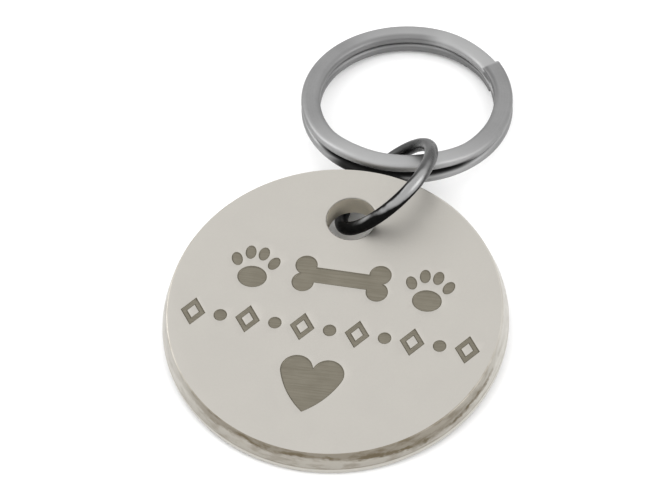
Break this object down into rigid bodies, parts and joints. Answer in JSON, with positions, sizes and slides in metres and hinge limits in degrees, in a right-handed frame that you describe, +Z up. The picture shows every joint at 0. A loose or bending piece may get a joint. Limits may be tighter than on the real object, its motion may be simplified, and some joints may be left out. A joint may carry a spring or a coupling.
{
  "type": "pet id tag",
  "caption": "Round engraved steel pet tag with a tapered edge, hung by a wire jump ring from a split ring that threads onto a collar's ring.",
  "frame": {"origin": "middle of the whole part's footprint, on the surface that it lies on", "axes": "+Y from the tag to the split ring, +Z up from the surface, +X across the tag"},
  "size_m": [0.03, 0.0492, 0.0086],
  "materials": {
    "tag_steel": "satin face, punched edge, darker brushed floor in the engraving",
    "jump_ring_steel": "dark polished, rubbed bright in places",
    "split_ring_steel": "tumbled, dull bright"
  },
  "bodies": {
    "tag": {"tag_disc": "tag_steel"},
    "jump_ring": {"jump_ring": "jump_ring_steel"},
    "split_ring": {"split_ring": "split_ring_steel"}
  },
  "joints": [
    {"name": "jump_ring_turn", "type": "hinge", "parent": "tag", "child": "jump_ring", "pos_m": [0.0024, 0.0038, 0.00429], "axis": [0.6706, -0.2497, -0.6985], "range_deg": [0, 60]},
    {"name": "split_ring_turn", "type": "hinge", "parent": "jump_ring", "child": "split_ring", "pos_m": [0.00247, 0.01501, 0.00111], "axis": [0, 0.1212, 0.9926], "continuous": true}
  ]
}
